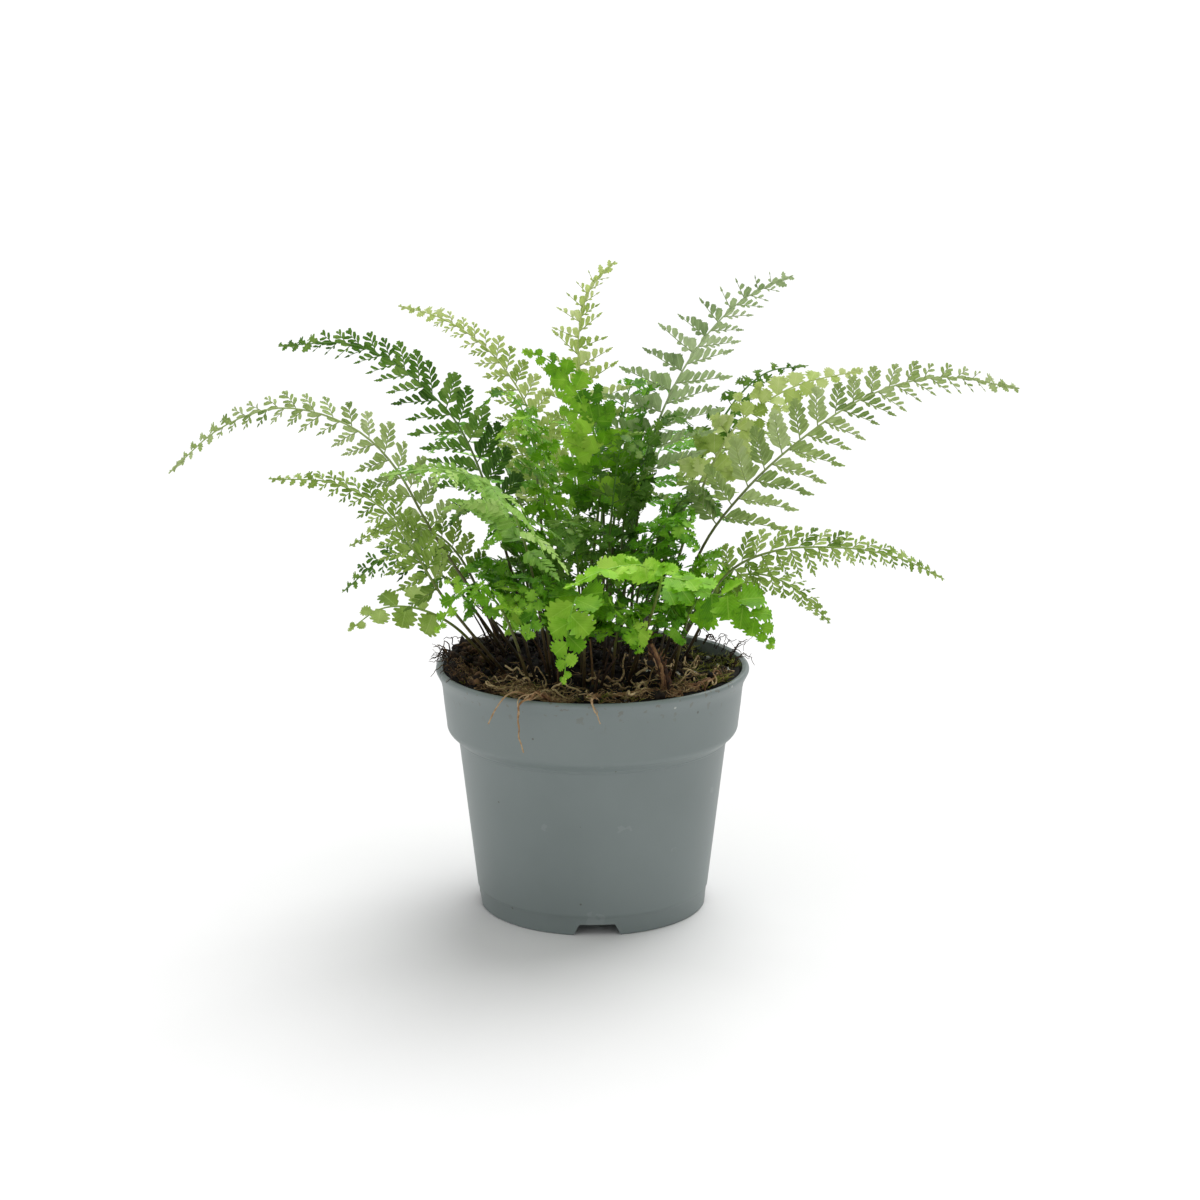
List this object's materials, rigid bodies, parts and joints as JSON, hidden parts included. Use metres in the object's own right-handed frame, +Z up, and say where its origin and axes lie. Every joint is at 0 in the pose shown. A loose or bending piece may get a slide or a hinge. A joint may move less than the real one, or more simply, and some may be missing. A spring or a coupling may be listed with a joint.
{
  "type": "potted parvati mother fern",
  "caption": "Potted fern: a round tapered nursery pot filled with compost, with a crown of arching, finely cut fronds and roots that hang over the rim.",
  "frame": {"origin": "on the pot's axis, in the plane that the pot stands on", "axes": "+Z up the pot's axis; +X to the right and -Y towards the viewer of the pot's front, where a drain notch is"},
  "size_m": [0.3121, 0.2625, 0.2453],
  "materials": {
    "pot": "satin",
    "soil": "matte",
    "rootstock": "matte",
    "frond_sage": "matte",
    "frond_pale": "matte",
    "frond_dark": "matte",
    "frond_bright": "satin"
  },
  "bodies": {
    "root": {"pot": "pot", "soil": "soil", "rootstock": "rootstock", "frond_far_left": "frond_sage", "frond_left_sage": "frond_sage", "frond_upper_right": "frond_sage", "frond_far_right": "frond_sage", "frond_low_right_long": "frond_sage", "frond_low_right": "frond_sage", "frond_back_1": "frond_sage", "frond_back_2": "frond_sage", "frond_back_3": "frond_sage", "frond_back_4": "frond_sage", "frond_back_5": "frond_sage", "frond_pale_left": "frond_pale", "frond_top_pale": "frond_pale", "frond_pale_right": "frond_pale", "frond_mint_front": "frond_pale", "frond_left_mid": "frond_pale", "frond_dark_left": "frond_dark", "frond_wiry_right": "frond_dark", "frond_low_left": "frond_dark", "frond_low_left_long": "frond_dark", "frond_middle_1": "frond_dark", "frond_middle_2": "frond_dark", "frond_middle_3": "frond_dark", "frond_middle_4": "frond_dark", "frond_middle_5": "frond_dark", "frond_middle_6": "frond_dark", "frond_middle_7": "frond_dark", "frond_low_back_1": "frond_dark", "frond_low_back_2": "frond_dark", "frond_low_back_3": "frond_dark", "frond_low_back_4": "frond_dark", "frond_top_green": "frond_bright", "frond_front_right": "frond_bright", "frond_lime_front": "frond_bright", "frond_hanging_front": "frond_bright", "frond_front_left": "frond_bright", "frond_high_1": "frond_bright", "frond_high_2": "frond_bright", "frond_high_3": "frond_bright", "frond_high_4": "frond_bright", "frond_high_5": "frond_bright", "frond_high_6": "frond_bright", "frond_low_front_1": "frond_bright", "frond_low_front_2": "frond_bright", "frond_low_front_3": "frond_bright", "frond_low_front_4": "frond_bright", "frond_low_front_5": "frond_bright", "frond_low_front_6": "frond_bright"}
  },
  "joints": []
}
